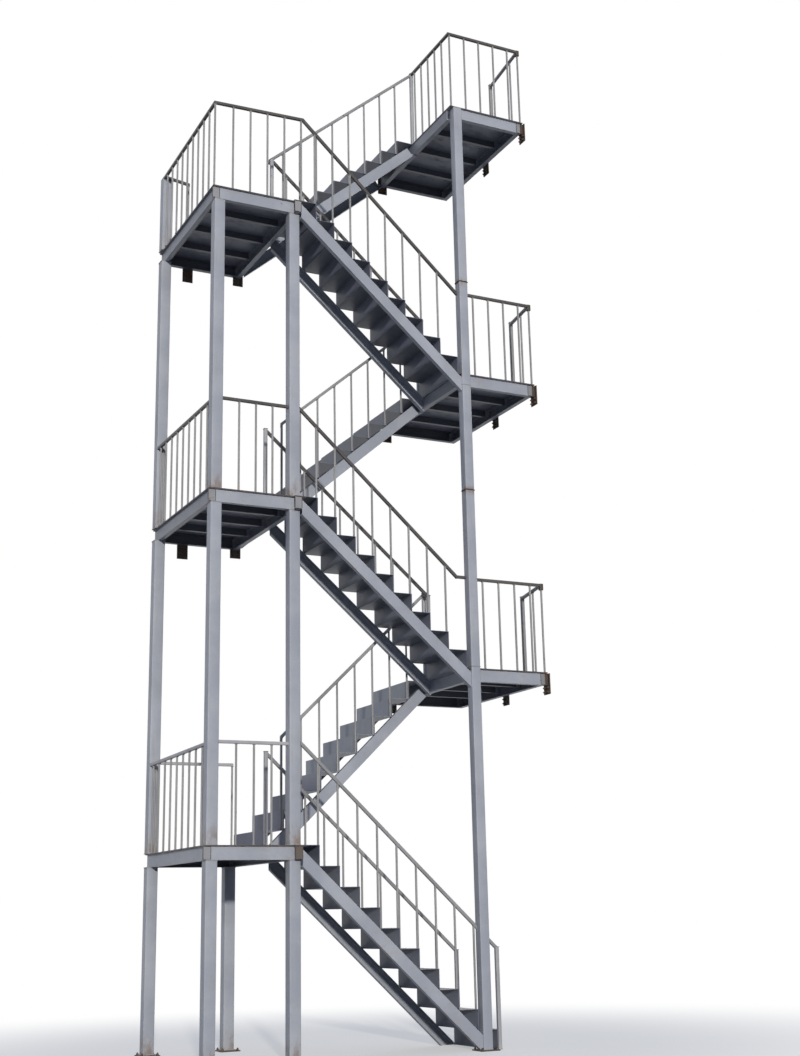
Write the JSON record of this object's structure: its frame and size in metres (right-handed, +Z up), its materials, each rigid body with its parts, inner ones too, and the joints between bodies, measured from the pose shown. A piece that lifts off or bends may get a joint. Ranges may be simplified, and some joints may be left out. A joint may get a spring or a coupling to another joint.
{
  "type": "fire escape stair",
  "caption": "Grey painted steel fire escape stair on square posts: back-to-back flights with closed risers zigzag between left landings and door landings, with barred railings.",
  "frame": {"origin": "foot of the front left post, centre of its base plate's underside", "axes": "+X from the left landings towards the door landings, +Y from the open front towards the wall behind, +Z up"},
  "size_m": [4.168, 2.113, 12.1321],
  "materials": {
    "post_paint": "satin",
    "frame_paint": "satin",
    "deck_plate": "satin",
    "step_paint": "satin",
    "railing_paint": "satin",
    "rusty_plate": "rough"
  },
  "bodies": {
    "root": {"post_front_left": "post_paint", "post_front_right": "post_paint", "post_back_left": "post_paint", "post_back_right": "post_paint", "post_door_side": "post_paint", "frame_a": "frame_paint", "frame_b": "frame_paint", "frame_c": "frame_paint", "door_frame_1": "frame_paint", "door_frame_2": "frame_paint", "door_frame_3": "frame_paint", "stringers_1": "frame_paint", "stringers_2": "frame_paint", "stringers_3": "frame_paint", "stringers_4": "frame_paint", "stringers_5": "frame_paint", "stringers_6": "frame_paint", "deck_a": "deck_plate", "deck_b": "deck_plate", "deck_c": "deck_plate", "door_deck_1": "deck_plate", "door_deck_2": "deck_plate", "door_deck_3": "deck_plate", "steps_1": "step_paint", "steps_2": "step_paint", "steps_3": "step_paint", "steps_4": "step_paint", "steps_5": "step_paint", "steps_6": "step_paint", "railings_1": "railing_paint", "railing_2": "railing_paint", "railings_3": "railing_paint", "railing_4": "railing_paint", "railings_5": "railing_paint", "railing_6": "railing_paint", "railings_a": "railing_paint", "railings_b": "railing_paint", "railings_c": "railing_paint", "door_railings_1": "railing_paint", "door_railings_2": "railing_paint", "door_railings_3": "railing_paint", "base_plates": "rusty_plate", "wall_plates": "rusty_plate"}
  },
  "joints": []
}
